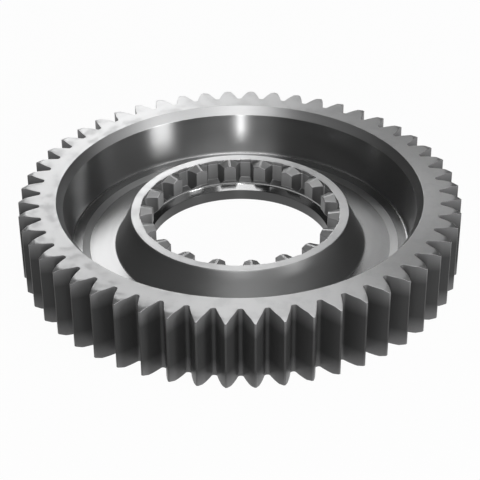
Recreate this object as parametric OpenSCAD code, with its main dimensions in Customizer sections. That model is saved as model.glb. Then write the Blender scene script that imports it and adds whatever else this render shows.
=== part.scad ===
// Straight-cut gear ring with a sunk web, a conical hub and a toothed bore.
// One steel forging, turned all over: the outer teeth are hobbed, the inner teeth are shaped.
// The axis lies on Z and the lower faces on Z = 0.
// One outer tooth and one inner tooth are centred on +X.

/* [Outer teeth] */
// Number of outer teeth
outer_teeth = 52; // [49:1:72]
// Module, the pitch diameter for each outer tooth
outer_module = 4.25; // [4:0.25:6]
// Pressure angle of the outer teeth, in degrees
outer_pressure = 25; // [21:1:27]
// Tooth height outside the pitch circle, in modules
outer_addendum = 1.294; // [1:0.01:1.38]
// Tooth depth inside the pitch circle, in modules
outer_dedendum = 1.294; // [1.1:0.01:1.45]
// Thickness taken off each outer tooth for running clearance
outer_backlash = 0.13; // [0:0.01:0.3]
// Radius of the fillet at the foot of each flank
outer_fillet = 1.2; // [0.3:0.1:2]
// Radius of the corners of each tip land
outer_tip_round = 0.25; // [0.1:0.05:0.6]
// Width of the gear along its axis
face_width = 40; // [36:1:60]
// Depth of the bevel on the tooth ends, measured inwards from the tips
end_bevel_in = 3.2; // [1:0.1:5]
// Drop of that bevel along the axis
end_bevel_drop = 1.2; // [0.4:0.1:3]

/* [Rim] */
// Thickness of the rim from the tooth roots to its bore, at the top
rim_wall = 12; // [10:0.5:14]
// Chamfer at the mouth of the rim, measured outwards from the bore
mouth_chamfer_out = 3.3; // [1:0.1:6]
// Drop of that chamfer along the axis
mouth_chamfer_drop = 4.5; // [1:0.1:8]
// Taper of the rim bore, the radius lost from top to bottom
rim_taper = 2.5; // [0:0.1:3]
// Radius of the fillet between the rim bore and the web
rim_fillet = 2; // [0.5:0.1:3]

/* [Web] */
// Height of the upper face of the web above the lower faces
web_top = 10.7; // [8:0.1:14]
// Width of the raised ledge that runs round the web inside the rim
ledge_width = 6.3; // [4:0.1:7]
// Height of the ledge above the web
ledge_height = 0.9; // [0.3:0.1:2]
// Width of the slope from the ledge to the web
ledge_slope = 4; // [1:0.1:5]
// Depth of the relief turned in the underside of the web
relief_depth = 2; // [0.5:0.1:4]
// Width of the flat ring under the rim, outside the relief
rim_seat = 13; // [10:0.5:18]
// Width of the flat ring under the hub, inside the relief
hub_seat = 8; // [4:0.5:10]

/* [Hub] */
// Radius of the hub at its top face
hub_top_r = 58.1; // [56:0.1:62]
// Radius of the hub at the web
hub_foot_r = 66.3; // [62:0.1:69]
// Height of the hub's top face above the lower faces
hub_top = 29.3; // [27:0.1:34]
// Edge break round the hub's top face
hub_edge = 0.5; // [0.2:0.1:1.5]

/* [Inner teeth] */
// Number of inner teeth
inner_teeth = 18; // [16:1:18]
// Wall of the hub between its top edge and the roots of the inner teeth
hub_wall = 5.025; // [4:0.025:7]
// Pressure angle of the inner teeth, in degrees
inner_pressure = 20; // [16:1:24]
// Tooth height inside the pitch circle, in modules
inner_addendum = 0.53; // [0.4:0.01:0.54]
// Tooth depth outside the pitch circle, in modules
inner_dedendum = 0.65; // [0.5:0.01:0.75]
// Radius of the corners of each inner tip land
inner_tip_round = 0.5; // [0.2:0.1:0.8]
// Radius of the corners at the foot of each inner flank
inner_root_round = 1; // [0.3:0.1:1.4]
// Flat land on the top of each inner tooth, measured inwards from its root
lead_in_land = 0.6; // [0.5:0.1:3]
// Drop of the sloping tooth end from that land to the tip
lead_in_drop = 1; // [0.4:0.1:2.4]
// Width of the ridge left along the middle of each tooth's end
ridge_width = 1.2; // [0.6:0.1:2]
// Slope of the two facets that fall sideways from the ridge, in degrees
facet_slope = 20; // [12:1:28]
// Step between the outer end of the facets and the root circle
facet_margin = 0.3; // [0.2:0.1:1]

/* [Bore] */
// Height at which the inner teeth end at their tips
inner_end = 19.5; // [17:0.1:22]
// Radius of the plain ring below the inner teeth
pilot_r = 48.1; // [47.2:0.1:50]
// Depth of the relief groove between the teeth and the plain ring
groove_depth = 3; // [1.5:0.1:4]
// Radius at the bottom of the relief groove
groove_round = 1.2; // [0.4:0.1:2]
// Height of the plain ring's upper edge above the lower faces
pilot_top = 12; // [9:0.1:13]
// Depth of the lead-in cone at the lower mouth of the bore
lower_cone_depth = 6.2; // [2:0.1:7]
// Widening of the bore over that cone
lower_cone_out = 12; // [3:0.5:13]
// Height of the tooth space run-out above the lower wall of the groove
runout_rise = 0.8; // [0:0.1:1.5]

/* [Quality] */
// Facets of a full turn
smoothness = 180; // [90:10:360]
// Straight steps along one outer flank
outer_flank_steps = 5; // [3:1:10]
// Straight steps along one inner flank
inner_flank_steps = 4; // [2:1:8]
// Straight steps of a corner or a fillet
corner_steps = 3; // [2:1:6]

/* [Hidden] */

// Overrun of every cutter past the face that it cuts
overrun = 1;

outer_pitch_r = outer_teeth * outer_module / 2;
tip_r = outer_pitch_r + outer_addendum * outer_module;
root_r = outer_pitch_r - outer_dedendum * outer_module;
outer_base_r = outer_pitch_r * cos(outer_pressure);
outer_half_pitch = 180 / outer_teeth;
outer_half_tooth = (outer_half_pitch - degrees(outer_backlash / outer_pitch_r)) / 2;

// The inner teeth fill the hub up to its wall, which gives their module.
inner_root_r = hub_top_r - hub_wall;
inner_module = inner_root_r / (inner_teeth / 2 + inner_dedendum);
inner_pitch_r = inner_teeth * inner_module / 2;
inner_tip_r = inner_pitch_r - inner_addendum * inner_module;
inner_base_r = inner_pitch_r * cos(inner_pressure);
inner_half_space = 90 / inner_teeth;

mouth_r = root_r - rim_wall;
wall_foot_r = mouth_r - rim_taper;
ledge_top = web_top + ledge_height;
groove_r = pilot_r + groove_depth;
groove_z = pilot_top + groove_depth;

// The angle of an arc length over its radius, in degrees
function degrees(ratio) = ratio * 180 / PI;

// The involute function, in degrees
function involute(angle) = degrees(tan(angle)) - angle;

// The pressure angle at radius r of an involute on base radius base
function angle_at(r, base) = acos(min(1, base / r));

// Half the angle that an involute bar covers at radius r:
// half_bar is its value on the pitch circle, where the pressure angle is pressure
function half_at(r, base, half_bar, pressure) =
    half_bar + involute(pressure) - involute(angle_at(r, base));

// A point from its radius and its angle
function polar(r, angle) = [r * cos(angle), r * sin(angle)];

// Points of an arc about centre, from one angle to another, both ends included
function arc(centre, r, from, to, steps) =
    [for (i = [0:steps]) centre + polar(r, from + (to - from) * i / steps)];

// A list of points turned about the axis, and one reflected in the X axis and reversed
function turned(points, angle) =
    [for (p = points)
        [p[0] * cos(angle) - p[1] * sin(angle), p[0] * sin(angle) + p[1] * cos(angle)]];
function reflected(points) =
    [for (i = [len(points) - 1:-1:0]) [points[i][0], -points[i][1]]];

// One side of an involute bar that lies along +X, from its outer end to its inner end.
// The outer corner is convex with radius outer_round, the inner one flares out with
// radius inner_round. A circle that touches an involute has its centre on the same
// involute, shifted by its radius over the base radius. Both lie on one tangent of the
// base circle: reach is the length of that tangent up to the point of contact.
function bar_side(r_out, r_in, base, half_bar, pressure, outer_round, inner_round, steps) =
    let (
        c_out = r_out - outer_round,
        a_out = angle_at(c_out, base),
        phi_out = half_at(c_out, base, half_bar, pressure) - degrees(outer_round / base),
        reach_out = sqrt(max(0, c_out ^ 2 - base ^ 2)) + outer_round,
        flank_out = sqrt(base ^ 2 + reach_out ^ 2),
        c_in = r_in + inner_round,
        a_in = angle_at(c_in, base),
        phi_in = half_at(c_in, base, half_bar, pressure) + degrees(inner_round / base),
        reach_in = sqrt(max(0, c_in ^ 2 - base ^ 2)) - inner_round,
        flank_in = sqrt(base ^ 2 + max(0, reach_in) ^ 2)
    )
    concat(
        arc(polar(c_out, phi_out), outer_round, phi_out, phi_out + 90 - a_out, corner_steps),
        [for (i = [1:steps - 1])
            let (r = flank_out + (flank_in - flank_out) * i / steps)
            polar(r, half_at(r, base, half_bar, pressure))],
        arc(polar(c_in, phi_in), inner_round, phi_in - 90 - a_in, phi_in - 180, corner_steps)
    );

// The fillets of the outer teeth never grow past a full round of the tooth space,
// and the tip corners never past the tip land.
outer_root_gap = outer_half_pitch - half_at(root_r, outer_base_r, outer_half_tooth, outer_pressure);
outer_tip_land = half_at(tip_r, outer_base_r, outer_half_tooth, outer_pressure);
full_round_share = 1.08;
tip_land_share = 0.8;
outer_root_round = min(outer_fillet, full_round_share * root_r * outer_root_gap * PI / 180);
outer_corner = min(outer_tip_round, tip_land_share * tip_r * outer_tip_land * PI / 180);

outer_side = bar_side(tip_r, root_r, outer_base_r, outer_half_tooth, outer_pressure,
    outer_corner, outer_root_round, outer_flank_steps);
outer_tooth = concat(reflected(outer_side), outer_side);

inner_side = bar_side(inner_root_r, inner_tip_r, inner_base_r, inner_half_space, inner_pressure,
    inner_root_round, inner_tip_round, inner_flank_steps);
inner_mouth = inner_side[len(inner_side) - 1];
inner_overrun = inner_mouth * (1 - overrun / inner_tip_r);
inner_space = concat([[inner_overrun[0], -inner_overrun[1]]], reflected(inner_side),
    inner_side, [inner_overrun]);

// The turned section, radius and height, anticlockwise from the lower mouth of the bore
lead_in_r = inner_root_r - lead_in_land;
inner_tip_top = hub_top - lead_in_drop;
rim_relief_r = root_r - rim_seat;
lower_mouth_r = pilot_r + lower_cone_out;
hub_relief_r = lower_mouth_r + hub_seat;
groove_centre = [groove_r - groove_round, groove_z];
fillet_centre = [wall_foot_r - rim_fillet, ledge_top + rim_fillet];
groove_wall = 45;
section = concat(
    [
        [lower_mouth_r, 0],
        [hub_relief_r, 0],
        [hub_relief_r + relief_depth, relief_depth],
        [rim_relief_r - relief_depth, relief_depth],
        [rim_relief_r, 0],
        [tip_r - end_bevel_in, 0],
        [tip_r, end_bevel_drop],
        [tip_r, face_width - end_bevel_drop],
        [tip_r - end_bevel_in, face_width],
        [mouth_r + mouth_chamfer_out, face_width],
        [mouth_r, face_width - mouth_chamfer_drop]
    ],
    arc(fillet_centre, rim_fillet, 0, -90, corner_steps),
    [
        [wall_foot_r - ledge_width, ledge_top],
        [wall_foot_r - ledge_width - ledge_slope, web_top],
        [hub_foot_r, web_top],
        [hub_top_r, hub_top - hub_edge],
        [hub_top_r - hub_edge, hub_top],
        [lead_in_r, hub_top],
        [inner_tip_r, inner_tip_top],
        [inner_tip_r, inner_end]
    ],
    arc(groove_centre, groove_round, groove_wall, -groove_wall, 2 * corner_steps),
    [
        [pilot_r, pilot_top],
        [pilot_r, lower_cone_depth]
    ]
);

// The outer outline of all teeth, over the full width
module toothed_disc() {
    linear_extrude(face_width)
        polygon([for (t = [0:outer_teeth - 1]) each turned(outer_tooth, t * 2 * outer_half_pitch)]);
}

// The forging as it leaves the lathe
module turned_blank() {
    rotate_extrude($fn = smoothness)
        polygon(section);
}

// The tooth spaces of the bore. They run out on a cone above the groove's lower wall.
module inner_spaces() {
    runout_z = groove_z + runout_rise;
    cutter_r = inner_root_r + overrun;
    intersection() {
        linear_extrude(hub_top + overrun)
            for (t = [0:inner_teeth - 1])
                rotate((t + 0.5) * 360 / inner_teeth)
                    polygon(inner_space);
        rotate_extrude($fn = smoothness)
            polygon([
                [inner_tip_r - 2 * overrun, runout_z - (groove_r - inner_tip_r) - 2 * overrun],
                [cutter_r, runout_z + cutter_r - groove_r],
                [cutter_r, hub_top + 2 * overrun],
                [inner_tip_r - 2 * overrun, hub_top + 2 * overrun]
            ]);
    }
}

// The two facets on the end of each inner tooth. They fall sideways from its ridge and,
// with the sloping tooth end, towards the bore, and stop just inside the root circle.
module end_facets() {
    reach = inner_root_r * sin(180 / inner_teeth);
    fall = atan(lead_in_drop / (lead_in_r - inner_tip_r));
    deepest = (reach - ridge_width / 2) * tan(facet_slope);
    inner_r = inner_tip_r - 2 * overrun;
    outer_r = inner_root_r - facet_margin;
    lowest = hub_top - deepest - lead_in_drop - 2 * overrun;
    intersection() {
        for (t = [0:inner_teeth - 1])
            for (side = [0, 1])
                rotate([0, 0, t * 360 / inner_teeth])
                    mirror([0, side, 0])
                        translate([lead_in_r, 0, hub_top])
                            rotate([0, -fall, 0])
                                translate([-reach, 0, 0])
                                    rotate([90, 0, 90])
                                        linear_extrude(2 * reach)
                                            polygon([
                                                [ridge_width / 2 - overrun / tan(facet_slope), overrun],
                                                [reach, -deepest],
                                                [reach, overrun]
                                            ]);
        rotate_extrude($fn = smoothness)
            polygon([
                [inner_r, lowest],
                [outer_r, lowest],
                [outer_r, hub_top + 2 * overrun],
                [inner_r, hub_top + 2 * overrun]
            ]);
    }
}

// The whole gear, cut from one piece
module gear() {
    color("silver")
        difference() {
            intersection() {
                toothed_disc();
                turned_blank();
            }
            inner_spaces();
            end_facets();
        }
}

gear();
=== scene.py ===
"""The gear ring with its real finishes: turned faces, hobbed teeth, a shaped bore.

The part is one closed skin. It is a chain of rings round the Z axis, from the outer teeth
over the underside, up the bore, over the hub and the web, and back to the outer teeth.
All lengths in the tables are millimetres, heights count from the lower faces, and the
last step turns them into metres.
"""

import bpy
import numpy as np
from mathutils import Matrix


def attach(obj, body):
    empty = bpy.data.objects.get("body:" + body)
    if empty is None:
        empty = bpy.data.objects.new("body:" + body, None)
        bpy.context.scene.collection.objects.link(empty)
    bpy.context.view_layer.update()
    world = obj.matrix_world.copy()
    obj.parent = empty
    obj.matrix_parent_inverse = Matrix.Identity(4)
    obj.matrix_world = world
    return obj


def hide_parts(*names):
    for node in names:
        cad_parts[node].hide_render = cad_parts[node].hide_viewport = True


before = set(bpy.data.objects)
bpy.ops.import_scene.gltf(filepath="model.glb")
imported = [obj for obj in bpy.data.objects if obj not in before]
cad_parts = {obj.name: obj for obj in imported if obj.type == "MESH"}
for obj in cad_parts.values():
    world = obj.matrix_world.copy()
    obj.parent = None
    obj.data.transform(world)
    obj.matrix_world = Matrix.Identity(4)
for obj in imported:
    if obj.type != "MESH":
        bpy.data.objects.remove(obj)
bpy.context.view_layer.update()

MM = 0.001
TURN = 2 * np.pi

# ---------------------------------------------------------------- sizes, as in the solid

OUTER_TEETH, OUTER_MODULE, OUTER_PRESSURE = 52, 4.25, np.radians(25)
OUTER_ADDENDUM, OUTER_DEDENDUM, OUTER_BACKLASH = 1.294, 1.294, 0.13
OUTER_TIP_ROUND, OUTER_FILLET = 0.25, 1.2
OUTER_PITCH_R = OUTER_TEETH * OUTER_MODULE / 2
TIP_R = OUTER_PITCH_R + OUTER_ADDENDUM * OUTER_MODULE
ROOT_R = OUTER_PITCH_R - OUTER_DEDENDUM * OUTER_MODULE
OUTER_BASE_R = OUTER_PITCH_R * np.cos(OUTER_PRESSURE)
OUTER_HALF_TOOTH = (np.pi / OUTER_TEETH - OUTER_BACKLASH / OUTER_PITCH_R) / 2
WIDTH = 40.0
BEVEL_IN, BEVEL_DROP = 3.2, 1.2

INNER_TEETH, INNER_MODULE, INNER_PRESSURE = 18, 5.5, np.radians(20)
INNER_ADDENDUM, INNER_DEDENDUM = 0.53, 0.65
INNER_ROOT_ROUND, INNER_TIP_ROUND = 1.0, 0.5
INNER_PITCH_R = INNER_TEETH * INNER_MODULE / 2
INNER_TIP_R = INNER_PITCH_R - INNER_ADDENDUM * INNER_MODULE
INNER_ROOT_R = INNER_PITCH_R + INNER_DEDENDUM * INNER_MODULE
INNER_BASE_R = INNER_PITCH_R * np.cos(INNER_PRESSURE)
LEAD_R, LEAD_DROP = INNER_ROOT_R - 0.6, 1.0
RIDGE_WIDTH, FACET_SLOPE = 1.2, np.radians(20)
FACET_END_R = INNER_ROOT_R - 0.3
INNER_END = 19.5

# the bore below the inner teeth
LOWER_MOUTH_R, LOWER_CONE_TOP = 60.1, 6.2
PILOT_R, PILOT_TOP = 48.1, 12.0
GROOVE_Z, GROOVE_ROUND = 15.0, 1.2
GROOVE_CENTRE_R = PILOT_R + 3.0 - GROOVE_ROUND
GROOVE_EDGE_R = GROOVE_CENTRE_R + GROOVE_ROUND * np.cos(np.pi / 4)
GROOVE_EDGE_RISE = GROOVE_ROUND * np.sin(np.pi / 4)
RUNOUT_Z, RUNOUT_R = 15.8, 51.1

# the underside: level seats under rim and hub, and the relief between them
RIM_SEAT_R, HUB_SEAT_R, RELIEF_DEPTH = 92.0, 68.1, 2.0

# hub, web, ledge and the bore of the rim
HUB_TOP, HUB_TOP_R, HUB_FOOT_R, HUB_EDGE = 29.3, 58.1, 66.3, 0.5
WEB_TOP, LEDGE_TOP = 10.7, 11.6
LEDGE_FOOT_R, LEDGE_EDGE_R = 80.2, 84.2
WALL_FOOT_R, WALL_TOP_R, WALL_TOP, MOUTH_R = 90.5, 93.0, 35.5, 96.3

# where one piece of the skin hands over to the next
RIM_JOIN_R, FACE_JOIN_R = 103.0, 101.0
HUB_JOIN_R, HUB_FACE_JOIN_R, WEB_JOIN_R = 55.2, 56.2, 67.5
LOWER_HUB_JOIN_R, LOWER_MOUTH_JOIN_R = 63.0, 61.5

# broken edges: of the outer teeth, of the inner teeth and of the hub's face at the teeth
OUTER_EDGE, INNER_EDGE, HUB_FACE_EDGE = 0.22, 0.12, 0.14

# how finely the skin is drawn
LATHE_STEPS = 360
OUTER_FLANK_STEPS, INNER_FLANK_STEPS, TOOTH_CORNER_STEPS = 7, 9, 4
GROOVE_STEPS = 9


# ---------------------------------------------------------------- outlines of the teeth

def unit(angle):
    """Unit directions at the given angles, as an array of x and y."""
    return np.stack((np.cos(angle), np.sin(angle)), -1)


def involute(angle):
    """The involute function: the tangent of the angle less the angle."""
    return np.tan(angle) - angle


def pressure_at(r, base):
    """The pressure angle at radius r: the arc cosine of the base radius over r."""
    return np.arccos(np.minimum(1.0, base / r))


def bar_side(r_out, r_in, base, half_bar, pressure, round_out, round_in, flank_steps):
    """One side of an involute bar that lies along +X, from its outer to its inner end.

    At radius r the bar's half angle is its half angle on the pitch circle, plus the
    involute of the pressure angle, less the involute of the pressure angle at r. The
    corner circles have their centres on that curve shifted by radius over base radius.
    Returns the points and the directions that point out of the bar."""
    def half_at(r):
        return half_bar + involute(pressure) - involute(pressure_at(r, base))

    c_out, c_in = r_out - round_out, r_in + round_in
    phi_out, phi_in = half_at(c_out) - round_out / base, half_at(c_in) + round_in / base
    touch_out = np.hypot(base, np.sqrt(c_out ** 2 - base ** 2) + round_out)
    touch_in = np.hypot(base, np.sqrt(c_in ** 2 - base ** 2) - round_in)
    share = np.linspace(0, 1, TOOTH_CORNER_STEPS + 1)
    corner = unit(phi_out + share * (np.pi / 2 - pressure_at(c_out, base)))
    r = np.linspace(touch_out, touch_in, flank_steps + 1)[1:-1]
    flank_facing = unit(half_at(r) + np.pi / 2 - pressure_at(r, base))
    start = np.pi / 2 + pressure_at(c_in, base)
    flare = unit(phi_in - start - share * (np.pi - start))
    points = np.concatenate((c_out * unit(phi_out) + round_out * corner,
                             r[:, None] * unit(half_at(r)),
                             c_in * unit(phi_in) + round_in * flare))
    return points, np.concatenate((corner, flank_facing, -flare))


def all_round(half, count, offset=0.0):
    """A half outline with its mirror image, repeated count times round the axis.

    The half runs from the middle of a bar to the middle of the next gap. The columns
    start in the middle of the first bar, or at offset from it."""
    mirrored = half[-1:0:-1] * (1, -1)
    step = TURN / count
    c, s = np.cos(step), np.sin(step)
    following = mirrored @ np.array(((c, s), (-s, c)))
    one = np.concatenate((half[:-1], following))
    a = np.arange(count) * step + offset
    turns = np.stack((np.cos(a), np.sin(a), -np.sin(a), np.cos(a)), -1).reshape(count, 2, 2)
    return (one @ turns).reshape(-1, 2)


def columns_round(values, count):
    """The same mirroring and repeating for a plain number that each column carries."""
    return np.tile(np.concatenate((values[:-1], values[-1:0:-1])), count)


# ---------------------------------------------------------------- the chain of rings

class Skin:
    """Collects closed rings of points, from one to the next, and joins them with faces."""

    def __init__(self):
        self.rings, self.finishes, self.wear_and_glint = [], [], []

    def ring(self, xy, z, finish, wear_and_glint=0.0):
        """Adds one ring: its points in the plane, its heights, and what covers the
        strip from here to the next ring."""
        z = np.broadcast_to(z, len(xy))
        self.rings.append(np.column_stack((xy, z)))
        self.finishes.append(finish)
        self.wear_and_glint.append(np.broadcast_to(wear_and_glint, len(xy)))

    def turned(self, profile, angles, *finishes):
        """A profile of radius and height carried round the axis, ring by ring. finishes
        are pairs of what covers the next strips and how many rings that holds for."""
        names = [name for name, count in finishes for _ in range(count)]
        for (r, z), name in zip(profile, names, strict=True):
            self.ring(r * unit(angles), z, name)

    @staticmethod
    def between(a, b):
        """Triangles between two rings. Each edge of one ring takes as its apex the point
        of the other ring that is reached when the two are walked in step by angle."""
        def ends(ring):
            angle = np.unwrap(np.arctan2(ring[:, 1], ring[:, 0]))
            return np.append(angle[1:], angle[0] + TURN) - angle[0]
        n, m = len(a), len(b)
        end_a, end_b = ends(a), ends(b)
        i, j = np.arange(n), np.arange(m)
        on_b = np.searchsorted(end_b, end_a, "left") % m
        on_a = np.searchsorted(end_a, end_b, "right") % n
        first = np.stack((i, on_b + n, (i + 1) % n), -1)
        second = np.stack((on_a, j + n, (j + 1) % m + n), -1)
        return np.concatenate((first, second))

    def mesh(self, name, finishes):
        """Joins the rings, the last one to the first one too, into a closed mesh."""
        sizes = np.array([len(r) for r in self.rings])
        starts = np.concatenate(([0], np.cumsum(sizes)[:-1]))
        corners, counts, slots = [], [], []
        for k, (ring, finish) in enumerate(zip(self.rings, self.finishes)):
            after = (k + 1) % len(self.rings)
            n, m = sizes[k], sizes[after]
            if n == m:
                i = np.arange(n)
                j = (i + 1) % n
                faces = np.stack((i + starts[k], i + starts[after],
                                  j + starts[after], j + starts[k]), -1)
            else:
                faces = self.between(ring, self.rings[after])
                faces = np.where(faces < n, faces + starts[k], faces - n + starts[after])
            corners.append(faces.ravel())
            counts.append(np.full(len(faces), faces.shape[1]))
            slots.append(np.full(len(faces), finishes.index(finish)))
        points = np.concatenate(self.rings) * MM
        corners, counts = np.concatenate(corners), np.concatenate(counts)
        mesh = bpy.data.meshes.new(name)
        mesh.vertices.add(len(points))
        mesh.vertices.foreach_set("co", points.ravel())
        mesh.loops.add(len(corners))
        mesh.loops.foreach_set("vertex_index", corners)
        mesh.polygons.add(len(counts))
        mesh.polygons.foreach_set("loop_start", np.cumsum(counts) - counts)
        mesh.polygons.foreach_set("material_index", np.concatenate(slots))
        mesh.polygons.foreach_set("use_smooth", np.ones(len(counts), bool))
        mesh.update(calc_edges=True)
        wear_and_glint_mask = mesh.attributes.new("wear_and_glint", "FLOAT", "POINT")
        wear_and_glint_mask.data.foreach_set("value", np.concatenate(self.wear_and_glint))
        mesh.normals_split_custom_set_from_vertices(smooth_normals(mesh))
        return mesh


def smooth_normals(mesh):
    """Normals at the points: the sum of the normals of the faces round each point, each
    times the area of its face, so that large flat faces stay flat up to their edges."""
    count = len(mesh.loops)
    corner = np.empty(count, np.int32)
    mesh.loops.foreach_get("vertex_index", corner)
    facing = np.empty(len(mesh.polygons) * 3)
    mesh.polygons.foreach_get("normal", facing)
    area = np.empty(len(mesh.polygons))
    mesh.polygons.foreach_get("area", area)
    total = np.empty(len(mesh.polygons), np.int32)
    mesh.polygons.foreach_get("loop_total", total)
    weighted = np.repeat(facing.reshape(-1, 3) * area[:, None], total, axis=0)
    normals = np.stack([np.bincount(corner, weighted[:, k], len(mesh.vertices))
                        for k in range(3)], -1)
    return normals / np.maximum(np.linalg.norm(normals, axis=1, keepdims=True), 1e-20)


def rounded(points, radii, steps):
    """A polyline of radius and height with an arc in each inner corner.

    The arc touches both sides at its radius times the tangent of half the turn from the
    corner. Its points are the centre plus the radius times directions that go evenly
    from one normal to the other, so each corner turns into one point more than steps."""
    p = np.asarray(points, float)
    rho = np.asarray(radii, float)[:, None]
    before, after = p[1:-1] - p[:-2], p[2:] - p[1:-1]
    before = before / np.linalg.norm(before, axis=1, keepdims=True)
    after = after / np.linalg.norm(after, axis=1, keepdims=True)
    side = np.sign(before[:, 0] * after[:, 1] - before[:, 1] * after[:, 0])[:, None]
    turn = np.arccos(np.clip((before * after).sum(1), -1, 1))[:, None]
    reach = rho * np.tan(turn / 2)
    left = np.stack((-before[:, 1], before[:, 0]), -1) * side
    left_after = np.stack((-after[:, 1], after[:, 0]), -1) * side
    centre = p[1:-1] - before * reach + left * rho
    t = np.linspace(0, 1, steps + 1)[None, :, None]
    turn = turn[:, None]
    blend = (np.sin((1 - t) * turn) * left[:, None] + np.sin(t * turn) * left_after[:, None])
    arcs = centre[:, None] - rho[:, None] * blend / np.sin(turn)
    return np.concatenate((p[:1], arcs.reshape(-1, 2), p[-1:]))


def face_height(r):
    """Height of the upper faces of the outer teeth: level, then falling on the bevel."""
    return WIDTH - BEVEL_DROP / BEVEL_IN * np.maximum(0, r - (TIP_R - BEVEL_IN))


def outer_band(skin):
    """The outer teeth: from a circle on the rim's upper face out over the teeth, down
    their sides and back to the same circle on the lower face.

    Each ring of a face is the circle plus a share of the way to the teeth's outline. The
    edge is a quarter circle: the outline less its facing times OUTER_EDGE times one less
    the sine of the angle, lowered by OUTER_EDGE times one less its cosine."""
    side, facing = bar_side(TIP_R, ROOT_R, OUTER_BASE_R, OUTER_HALF_TOOTH, OUTER_PRESSURE,
                            OUTER_TIP_ROUND, OUTER_FILLET, OUTER_FLANK_STEPS)
    gap = np.pi / OUTER_TEETH
    points = all_round(np.concatenate(([[TIP_R, 0]], side, [ROOT_R * unit(gap)])), OUTER_TEETH)
    out = all_round(np.concatenate(([[1, 0]], facing, [unit(gap)])), OUTER_TEETH)
    angle = np.arctan2(points[:, 1], points[:, 0])
    foot = RIM_JOIN_R * unit(angle)
    rim = points - out * OUTER_EDGE
    reach = np.linalg.norm(rim, axis=1) - RIM_JOIN_R
    # three rings round the fold where the end bevel starts, for a soft edge
    fold = TIP_R - BEVEL_IN - RIM_JOIN_R
    before, middle, behind = (np.minimum(fold + away, limit * reach) / reach
                              for away, limit in ((-0.8, 0.70), (0.0, 0.78), (0.9, 0.86)))
    none, full = np.zeros_like(reach), np.ones_like(reach)
    face = [(none, 0.0), (before * 0.6, 0.0), (before, 0.0), (middle, 0.0), (behind, 0.0),
            ((behind + 1) / 2, 0.0), (full, 0.5)]
    # the rounded top edges of the teeth count as worn: their lighter grey is partly wear and, on the
    # dark flanks, partly a painted highlight along the edges
    corner = [(30, 1.0), (60, 1.0), (90, 0.6)]
    upper = []
    for share, wear_and_glint in face:
        xy = foot + (rim - foot) * share[:, None]
        upper.append((xy, face_height(np.linalg.norm(xy, axis=1)), wear_and_glint))
    for degrees, wear_and_glint in corner:
        t = np.radians(degrees)
        xy = points - out * OUTER_EDGE * (1 - np.sin(t))
        z = face_height(np.linalg.norm(xy, axis=1)) - OUTER_EDGE * (1 - np.cos(t))
        upper.append((xy, z, wear_and_glint))
    for k, (xy, z, wear_and_glint) in enumerate(upper):
        skin.ring(xy, z, "rim_face" if k < len(face) else "outer_flanks", wear_and_glint)
    for share in (0.75, 0.25):
        skin.ring(points, WIDTH * share, "outer_flanks")
    for k, (xy, z, wear_and_glint) in enumerate(upper[::-1]):
        skin.ring(xy, WIDTH - z, "outer_flanks" if k < len(corner) else "rim_face", wear_and_glint)


def cone_height(r):
    """Height of the tops of the inner teeth: level, then falling towards the bore."""
    return HUB_TOP - LEAD_DROP * np.clip((LEAD_R - r) / (LEAD_R - INNER_TIP_R), 0, 1)


def tooth_end_height(xy):
    """Height of the end of an inner tooth, for places of the half outline.

    The ridge falls from the lead-in circle towards the bore. On each side of it a facet
    falls by the tangent of its slope times the distance from the ridge's edge. The end
    is the lower one of the ridge's cone and the facet."""
    middle = np.pi / INNER_TEETH
    along = xy @ unit(middle)
    across = xy @ np.array((np.sin(middle), -np.cos(middle)))
    fall = np.arctan(LEAD_DROP / (LEAD_R - INNER_TIP_R))
    facet = (HUB_TOP - (LEAD_R - along) * np.tan(fall)
             - (across - RIDGE_WIDTH / 2) * np.tan(FACET_SLOPE) / np.cos(fall))
    return np.minimum(cone_height(np.linalg.norm(xy, axis=1)), facet)


def inner_half():
    """Half a tooth space and half a tooth of the bore, from the middle of the space to
    the middle of the tooth, the directions that point into the steel, and the number of
    the column where the facets of the tooth ends begin.

    That column lies where the circle of the facets' outer end crosses the root corner:
    its angle on the corner's circle comes from the triangle of the two radii and the
    distance of the corner's centre."""
    side, facing = bar_side(INNER_ROOT_R, INNER_TIP_R, INNER_BASE_R, np.pi / 2 / INNER_TEETH,
                            INNER_PRESSURE, INNER_ROOT_ROUND, INNER_TIP_ROUND, INNER_FLANK_STEPS)
    start, last = (np.arctan2(side[k, 1], side[k, 0]) for k in (0, -1))
    corner = INNER_ROOT_ROUND
    centre_r = INNER_ROOT_R - corner
    at_end = start + np.arccos((FACET_END_R ** 2 - centre_r ** 2 - corner ** 2)
                               / (2 * centre_r * corner))
    corner_r = np.linalg.norm(side[1:TOOTH_CORNER_STEPS + 1], axis=1)
    near = 1 + np.argmin(np.abs(corner_r - FACET_END_R))
    side[near] = centre_r * unit(start) + corner * unit(at_end)
    facing[near] = unit(at_end)
    land = unit(start * np.array((0, 0.34, 0.67)))
    # the ridge's edge lies between two close columns, so that it stays crisp
    middle = np.pi / INNER_TEETH
    edges = middle - (RIDGE_WIDTH / 2 + np.array((0.06, -0.06))) / INNER_TIP_R
    tip_land = last + (edges[0] - last) * np.array((0.5, 1.0))
    tips = unit(np.concatenate((tip_land, edges[1:], [middle])))
    points = np.concatenate((INNER_ROOT_R * land, side, INNER_TIP_R * tips))
    return points, np.concatenate((land, facing, tips)), len(land) + near


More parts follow.
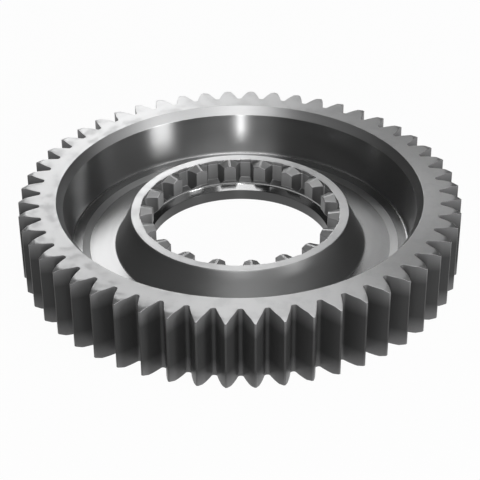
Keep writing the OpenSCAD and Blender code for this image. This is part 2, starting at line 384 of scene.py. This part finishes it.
def inner_band(skin):
    """The bore: from the lower face up over the plain ring and the groove, along the
    sides of the inner teeth and over their ridged ends to a circle on the hub.

    The bottom of the groove is an arc of GROOVE_ROUND from 45 degrees below the level of
    its centre up to where a tooth or a run-out begins. What lies between two outlines is
    one plus a share of the difference."""
    half, inward, boundary = inner_half()
    step = np.pi / INNER_TEETH
    turn = len(half) - 1

    def columns(half_xy):
        return np.roll(all_round(half_xy, INNER_TEETH, step), turn, 0)

    def numbers(values):
        return np.roll(columns_round(values, INNER_TEETH), turn)

    points = columns(half)
    r = np.linalg.norm(points, axis=1)
    count = len(points)
    angles = TURN * np.arange(count) / count

    # the lower cone, the plain ring and the lower wall of the groove
    lower = rounded([(LOWER_MOUTH_JOIN_R, 0), (LOWER_MOUTH_R, 0), (PILOT_R, LOWER_CONE_TOP),
                     (PILOT_R, PILOT_TOP), (GROOVE_EDGE_R, GROOVE_Z - GROOVE_EDGE_RISE)],
                    (0.4, 0.4, 0.3), 3)[:-1]
    skin.turned(lower, angles, ("underside", 5), ("bore_ring", 7), ("groove", 1))
    # the round bottom of the groove, up to where the teeth or the run-out begin
    stop = np.interp(r, (50.2, 51.6), np.radians((45, 31.7)))
    for share in np.linspace(0, 1, GROOVE_STEPS):
        theta = -np.pi / 4 + (stop + np.pi / 4) * share
        groove_r = GROOVE_CENTRE_R + GROOVE_ROUND * np.cos(theta)
        groove_xy = groove_r[:, None] * unit(angles)
        groove_z = GROOVE_Z + GROOVE_ROUND * np.sin(theta)
        skin.ring(groove_xy, groove_z, "groove" if share < 1 else "inner_teeth")
    # the undersides of the teeth fall outwards, the run-outs of the spaces rise outwards
    slant = (INNER_END - GROOVE_Z - GROOVE_EDGE_RISE) / (GROOVE_EDGE_R - INNER_TIP_R)
    bottom = np.maximum(INNER_END - slant * (r - INNER_TIP_R), RUNOUT_Z + r - RUNOUT_R)
    for share in (0.12, 0.88):
        xy = groove_xy + (points - groove_xy) * share
        skin.ring(xy, groove_z + (bottom - groove_z) * share, "inner_teeth")
    skin.ring(points, bottom + INNER_EDGE, "inner_teeth", 0.4)
    skin.ring(points, bottom + 0.5, "inner_teeth")

    # The ends of the teeth. A column runs over the facet parallel to the ridge, from the
    # edge of the tooth to the circle where the facets end, and up the small step there.
    # Columns at the root of a space have no facet and only go up the wall.
    plain = np.arange(len(half)) <= boundary
    wall_low = tooth_end_height(half[boundary:boundary + 1])[0]
    middle, sideways = unit(step), np.array((np.sin(step), -np.cos(step)))
    across = half @ sideways

    def at_radius(radius):
        return np.sqrt(radius ** 2 - across ** 2)[:, None] * middle + across[:, None] * sideways

    def end_ring(xy, z, rise, finish, wear_and_glint=0.0):
        xy = np.where(plain[:, None], half, xy)
        z = np.where(plain, wall_low + rise, z)
        skin.ring(columns(xy), numbers(z), finish, wear_and_glint)

    edge = half + inward * INNER_EDGE
    foot = at_radius(FACET_END_R - 0.05)
    end_ring(half, tooth_end_height(half) - 0.16, -0.05, "inner_teeth", 0.35)
    end_ring(edge, tooth_end_height(edge), 0.0, "tooth_ends", 0.8)
    for share, rise in ((0.1, 0.03), (0.9, 0.06)):
        xy = edge + (foot - edge) * share
        end_ring(xy, tooth_end_height(xy), rise, "tooth_ends")
    end_ring(foot, tooth_end_height(foot), 0.09, "tooth_ends")
    above = at_radius(FACET_END_R - 0.02)
    low = tooth_end_height(foot)
    end_ring(above, np.minimum(low + 0.05, HUB_TOP), 0.12, "inner_teeth")
    brim_low = HUB_TOP - HUB_FACE_EDGE
    end_ring(at_radius(FACET_END_R), np.maximum(low, brim_low), brim_low - wall_low, "hub_face", 0.4)
    brim = columns(np.where(plain[:, None], half + inward * HUB_FACE_EDGE,
                            at_radius(FACET_END_R + HUB_FACE_EDGE)))
    outer = HUB_JOIN_R * unit(angles)
    for share, wear_and_glint in ((0, 0.5), (0.12, 0.0), (0.6, 0.0), (1, 0.0)):
        skin.ring(brim + (outer - brim) * share, HUB_TOP, "hub_face", wear_and_glint)


def gear_mesh(finishes):
    """The whole skin of the gear: the teeth's two bands, and between them the turned
    faces, which are profiles with rounded corners carried round the axis."""
    skin = Skin()
    angles = TURN * np.arange(LATHE_STEPS) / LATHE_STEPS
    outer_band(skin)
    under = rounded([(FACE_JOIN_R, 0), (RIM_SEAT_R, 0), (RIM_SEAT_R - RELIEF_DEPTH, RELIEF_DEPTH),
                     (HUB_SEAT_R + RELIEF_DEPTH, RELIEF_DEPTH), (HUB_SEAT_R, 0),
                     (LOWER_HUB_JOIN_R, 0)],
                    (0.3, 0.8, 0.8, 0.3), 3)
    skin.turned(under, angles, ("underside", len(under)))
    inner_band(skin)
    hub = rounded([(HUB_FACE_JOIN_R, HUB_TOP), (HUB_TOP_R - HUB_EDGE, HUB_TOP),
                   (HUB_TOP_R, HUB_TOP - HUB_EDGE), (HUB_FOOT_R, WEB_TOP), (WEB_JOIN_R, WEB_TOP)],
                  (0.25, 0.25, 0.9), 4)[:-1]
    skin.turned(hub, angles, ("hub_face", 5), ("hub_cone", 10), ("web", 1))
    dish = rounded([(WEB_JOIN_R, WEB_TOP), (LEDGE_FOOT_R, WEB_TOP), (LEDGE_EDGE_R, LEDGE_TOP),
                    (WALL_FOOT_R, LEDGE_TOP), (WALL_TOP_R, WALL_TOP), (MOUTH_R, WIDTH),
                    (FACE_JOIN_R, WIDTH)],
                   (2.0, 1.0, 2.0, 0.6, 0.3), 6)
    skin.turned(dish, angles, ("web", 3), ("ledge", 8), ("web", 7), ("rim_bore", 7),
                ("mouth", 7), ("rim_face", 5))
    return skin.mesh("gear_skin", finishes)


# ---------------------------------------------------------------- materials

class Value:
    """One output of a node. Python arithmetic on it adds Math nodes to its tree."""

    def __init__(self, graph, socket):
        self.graph, self.socket = graph, socket

    def math(self, operation, *others):
        return self.graph.node("ShaderNodeMath", {"operation": operation},
                               {k: v for k, v in enumerate((self,) + others)})

    def __add__(self, other): return self.math("ADD", other)
    def __radd__(self, other): return self.math("ADD", other)
    def __mul__(self, other): return self.math("MULTIPLY", other)
    def __rmul__(self, other): return self.math("MULTIPLY", other)
    def __sub__(self, other): return self.math("SUBTRACT", other)
    def __rsub__(self, other): return self.graph.number(other).math("SUBTRACT", self)
    def __pow__(self, other): return self.math("POWER", other)

    def ramp(self, low, high):
        """The value taken from low..high to 0..1 with soft ends."""
        return self.graph.node("ShaderNodeMapRange", {"interpolation_type": "SMOOTHSTEP"},
                               {0: self, 1: low, 2: high})


class Graph:
    """The node tree of one material or of the world."""

    def __init__(self, owner):
        owner.use_nodes = True
        self.tree = owner.node_tree
        self.tree.nodes.clear()

    def node(self, kind, settings=None, sockets=None, out=0):
        """Adds a node: first its settings, then the values or links of its sockets."""
        node = self.tree.nodes.new(kind)
        for name, value in (settings or {}).items():
            setattr(node, name, value)
        for name, value in (sockets or {}).items():
            if isinstance(value, Value):
                self.tree.links.new(value.socket, node.inputs[name])
            else:
                node.inputs[name].default_value = value
        return Value(self, node.outputs[out]) if node.outputs else None

    def number(self, value):
        """A plain number as the first operand of an expression."""
        return self.node("ShaderNodeMath", {"operation": "ADD"}, {0: value, 1: 0.0})

    def noise(self, vector, scale, detail=3.0, roughness=0.5):
        return self.node("ShaderNodeTexNoise", {"noise_dimensions": "3D"},
                         {"Vector": vector, "Scale": scale, "Detail": detail,
                          "Roughness": roughness})

    def vector(self, x, y, z):
        return self.node("ShaderNodeCombineXYZ", None, {0: x, 1: y, 2: z})

    def mix(self, share, none, full):
        """The colour none where share is 0 and the colour full where it is 1."""
        return self.node("ShaderNodeMix", {"data_type": "RGBA"}, {0: share, 6: none, 7: full},
                         out=2)


MARK_PITCH = 0.5


def steel(name, tone, roughness, marks, stretch, mark_height, stain=0.06, edge=0.85,
          metal=1.0, specular=0.5, smudge=0.0):
    """Bare steel with the marks of its last cut.

    marks is "round" for lathe rings, whose pattern follows radius and height, or "along"
    for cuts that run with the axis, whose pattern follows the place in the plane. Its
    fine noise has MARK_PITCH and its wide noise about six times that, in millimetres.
    tone is the grey of a clean surface and edge that of a worn edge; on the outer flanks
    that lighter edge grey is partly wear and partly a painted highlight, and their dark
    tone is partly a painted dark reflection. roughness is its mean, stretch how far the
    highlight is drawn out, metal and specular the shader's own. mark_height is the depth
    of the marks in millimetres. stain is how far clouds and patches darken the steel, and
    smudge does the same for small blots, which also dull it by 0.6 of that. Specks darken
    it by a quarter.
    shade is one at the clean tone and nought at 0.55 of it."""
    material = bpy.data.materials.new(name)
    g = Graph(material)
    place = g.node("ShaderNodeTexCoord", None, None, out=3)
    split = g.node("ShaderNodeSeparateXYZ", None, {0: place})
    x, y, z = (Value(g, split.socket.node.outputs[k]) for k in range(3))
    # the places that the marks follow, in millimetres
    if marks == "round":
        radius = (x * x + y * y) ** 0.5
        fine = g.vector(radius * 1000, z * 1000, g.noise(place, 26.0) * 0.8)
    else:
        fine = g.vector(x * 1000, y * 1000, z * 14)
    cut = g.noise(fine, 1.0 / MARK_PITCH, 2.0, 0.6)
    wide = g.noise(fine, 0.16 / MARK_PITCH, 2.0)
    cloud = g.noise(place, 9.0, 4.0, 0.55)
    patch = g.noise(place, 42.0, 4.0, 0.6).ramp(0.56, 0.72)
    blot = g.noise(place, 130.0, 3.0, 0.6).ramp(0.46, 0.66)
    speck = g.noise(place, 900.0, 1.0).ramp(0.74, 0.80)
    wear_and_glint_mask = g.node("ShaderNodeAttribute", {"attribute_name": "wear_and_glint"}, None, out=2)
    shade = ((0.94 + cut * 0.06 + wide * 0.06) * (1.0 - cloud.ramp(0.5, 0.8) * stain)
             * (1.0 - patch * stain * 0.3) * (1.0 - speck * 0.25) * (1.0 - blot * smudge))
    dark = (tone * 0.55, tone * 0.56, tone * 0.57, 1)
    bright = (tone, tone * 1.003, tone * 1.006, 1)
    clean = g.mix(shade, dark, bright)
    # lighter towards worn edges: partly wear, and on the outer flanks partly a painted highlight
    # along the teeth's top edges
    colour = g.mix(wear_and_glint_mask * 0.7, clean, (edge, edge, edge * 1.01, 1))
    rough = roughness * (0.85 + wide * 0.3) + cloud * 0.03 + blot * (smudge * 0.6) - wear_and_glint_mask * 0.04
    height = (cut - 0.5) * (mark_height * MM) + (wide - 0.5) * (mark_height * 2 * MM)
    bump = g.node("ShaderNodeBump", None, {"Strength": 1.0, "Distance": 1.0, "Height": height})
    shader = g.node("ShaderNodeBsdfPrincipled", None,
                    {"Base Color": colour, "Roughness": rough, "Metallic": metal,
                     "Specular IOR Level": specular, "Anisotropic": stretch,
                     "Anisotropic Rotation": 0.25, "Normal": bump})
    g.node("ShaderNodeOutputMaterial", None, {"Surface": shader})
    return material


LATHE = dict(marks="round", stretch=0.80, mark_height=0.003)
CUT_ALONG = dict(marks="along", stretch=0.0, mark_height=0.003)
LOOKS = {
    "rim_face": LATHE | dict(tone=0.70, roughness=0.34, stain=0.12, smudge=0.11),
    # flanks near black: partly dark hobbing scale, partly a painted dark reflection that stands in
    # for dark surroundings instead of the white floor they mirror; their lighter edge grey is partly
    # wear, partly a painted highlight
    "outer_flanks": CUT_ALONG | dict(tone=0.052, roughness=0.38, mark_height=0.004, stain=0.12,
                                     edge=0.35, metal=0.15, specular=0.12),
    "underside": LATHE | dict(tone=0.60, roughness=0.34, mark_height=0.004),
    "bore_ring": LATHE | dict(tone=0.09, roughness=0.28, stretch=0.90, edge=0.5),
    "groove": LATHE | dict(tone=0.38, roughness=0.15, mark_height=0.001),
    "inner_teeth": CUT_ALONG | dict(tone=0.11, roughness=0.34, edge=0.5, metal=0.6),
    "tooth_ends": LATHE | dict(tone=0.60, roughness=0.42, stretch=0.4, mark_height=0.002),
    "hub_face": LATHE | dict(tone=0.72, roughness=0.34, smudge=0.08),
    "hub_cone": LATHE | dict(tone=0.42, roughness=0.48, stretch=0.75),
    "web": LATHE | dict(tone=0.60, roughness=0.24, stretch=0.85, mark_height=0.002),
    "ledge": LATHE | dict(tone=0.62, roughness=0.44, stretch=0.90, mark_height=0.002),
    "rim_bore": LATHE | dict(tone=0.40, roughness=0.31, stretch=1.0, mark_height=0.002),
    "mouth": LATHE | dict(tone=0.60, roughness=0.36, stretch=0.30),
}

mesh = gear_mesh(list(LOOKS))
for finish, look in LOOKS.items():
    mesh.materials.append(steel("steel_" + finish, **look))
gear = bpy.data.objects.new("gear_ring", mesh)
bpy.context.scene.collection.objects.link(gear)
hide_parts("gear")
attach(gear, "root")


# ---------------------------------------------------------------- floor, light and camera

def floor_disc():
    """A pale floor under the gear, a disc of circles round the axis. What looks at it
    straight or by reflection sees it nearly white, and the rest of it takes light and
    shadow."""
    sides, radii = 96, (0.02, 0.3, 1.0, 3.0, 9.0)
    circle = unit(TURN * np.arange(sides) / sides)
    points = np.concatenate([np.column_stack((r * circle, np.zeros(sides))) for r in radii]
                            + [np.zeros((1, 3))])
    i = np.arange(sides)
    j = (i + 1) % sides
    faces = [(len(points) - 1, a, b) for a, b in zip(i.tolist(), j.tolist())]
    for k in range(len(radii) - 1):
        here, out = sides * k, sides * (k + 1)
        faces += np.stack((i + here, i + out, j + out, j + here), -1).tolist()
    mesh = bpy.data.meshes.new("floor")
    mesh.from_pydata(points.tolist(), [], faces)
    floor = bpy.data.objects.new("floor", mesh)
    bpy.context.scene.collection.objects.link(floor)
    material = bpy.data.materials.new("floor_paper")
    g = Graph(material)
    rays = g.node("ShaderNodeLightPath").socket.node
    camera, glossy, through = (Value(g, rays.outputs[n]) for n in (
        "Is Camera Ray", "Is Glossy Ray", "Is Transmission Ray"))
    share = (camera + glossy + through).math("MINIMUM", 1.0) * FLOOR_WHITE
    paper = g.node("ShaderNodeBsdfDiffuse", None, {"Color": (0.85, 0.85, 0.85, 1)})
    white = g.node("ShaderNodeEmission", None, {"Color": (1, 1, 1, 1), "Strength": 1.0})
    both = g.node("ShaderNodeMixShader", None, {0: share, 1: paper, 2: white})
    g.node("ShaderNodeOutputMaterial", None, {"Surface": both})
    mesh.materials.append(material)


def lamp(name, azimuth, elevation, wide, high, power):
    """A soft box that looks at the gear from a distance. Azimuth counts from the camera's
    side to the right and elevation from the floor. wide and high are how large it looks
    from the gear. All are in degrees, and power is in watts."""
    light = bpy.data.lights.new(name, "AREA")
    light.shape = "RECTANGLE"
    a, e = np.radians(azimuth) + TURN_OF_VIEW, np.radians(elevation)
    # azimuths run together towards the top, and so does the width there
    light.size = 2 * LAMP_DISTANCE * np.tan(np.radians(wide / 2)) * max(np.cos(e), 0.4)
    light.size_y = 2 * LAMP_DISTANCE * np.tan(np.radians(high / 2))
    light.energy = power
    obj = bpy.data.objects.new(name, light)
    out = np.array((np.sin(a) * np.cos(e), -np.cos(a) * np.cos(e), np.sin(e)))
    right = np.array((np.cos(a), np.sin(a), 0))
    up = np.cross(out, right)
    m = Matrix.Identity(4)
    for k in range(3):
        m[k][0], m[k][1], m[k][2], m[k][3] = right[k], up[k], out[k], out[k] * LAMP_DISTANCE
    obj.matrix_world = m
    bpy.context.scene.collection.objects.link(obj)


def add_camera():
    """The camera of the photograph: its distance, elevation, turn, small shifts and roll.
    Distance and shifts are given in tip radii and count from the middle of the rim's
    upper face."""
    el, roll = np.radians(33.115), np.radians(-0.4360)
    tip_r, rim_top = 0.116, 0.040
    distance, right_shift, up_shift = 7.0072 * tip_r, 0.00059 * tip_r, 0.21684 * tip_r
    forward = np.array((0, np.cos(el), -np.sin(el)))
    right, up = np.array((1.0, 0, 0)), np.array((0, np.sin(el), np.cos(el)))
    place = -distance * forward - right_shift * right - up_shift * up + (0, 0, rim_top)
    x = np.cos(roll) * right + np.sin(roll) * up
    y = -np.sin(roll) * right + np.cos(roll) * up
    c, s = np.cos(TURN_OF_VIEW), np.sin(TURN_OF_VIEW)
    about = np.array(((c, -s, 0), (s, c, 0), (0, 0, 1)))
    m = Matrix.Identity(4)
    for k, column in enumerate((x, y, -forward, place)):
        column = about @ column
        for row in range(3):
            m[row][k] = column[row]
    data = bpy.data.cameras.new("camera")
    data.sensor_width = 36.0
    data.lens = 115.947
    data.clip_start, data.clip_end = 0.05, 20
    camera = bpy.data.objects.new("camera", data)
    camera.matrix_world = m
    bpy.context.scene.collection.objects.link(camera)
    bpy.context.scene.camera = camera


TURN_OF_VIEW = np.radians(3.54)
LAMP_DISTANCE = 1.6
FLOOR_WHITE = 0.965
# name, azimuth, elevation, width and height in degrees, watts
LAMPS = [
    ("back_left", 191.5, 28, 17, 24, 1.5),
    ("back_middle", 180.5, 38, 12, 40, 0.92),
    ("back_right_high", 162, 52, 12, 12, 0.4),
    ("overhead_front", 0, 68, 70, 20, 3.6),
    ("overhead", 120, 80, 70, 30, 2.2),
    ("front_high", 6, 44, 64, 18, 3.2),
    ("front_spot", -1, 41, 8, 14, 0.6),
    ("right_box_low", 53, 14, 14, 20, 9.6),
    ("right_box_high", 52, 40, 30, 20, 0.95),
    ("right_wall", 84, 30, 44, 48, 1.6),
    ("back_low", 185, 23, 17, 8, 0.38),
    ("left_wall", 280, 45, 60, 30, 0.5),
    ("front_strip", -1, 14, 1.3, 17, 5.5),
]

floor_disc()
add_camera()
for settings in LAMPS:
    lamp(*settings)

world = bpy.data.worlds.new("studio")
bpy.context.scene.world = world
g = Graph(world)
air = g.node("ShaderNodeBackground", None, {"Color": (1, 1, 1, 1), "Strength": 0.03})
g.node("ShaderNodeOutputWorld", None, {"Surface": air})
bpy.context.scene.view_settings.view_transform = "Standard"
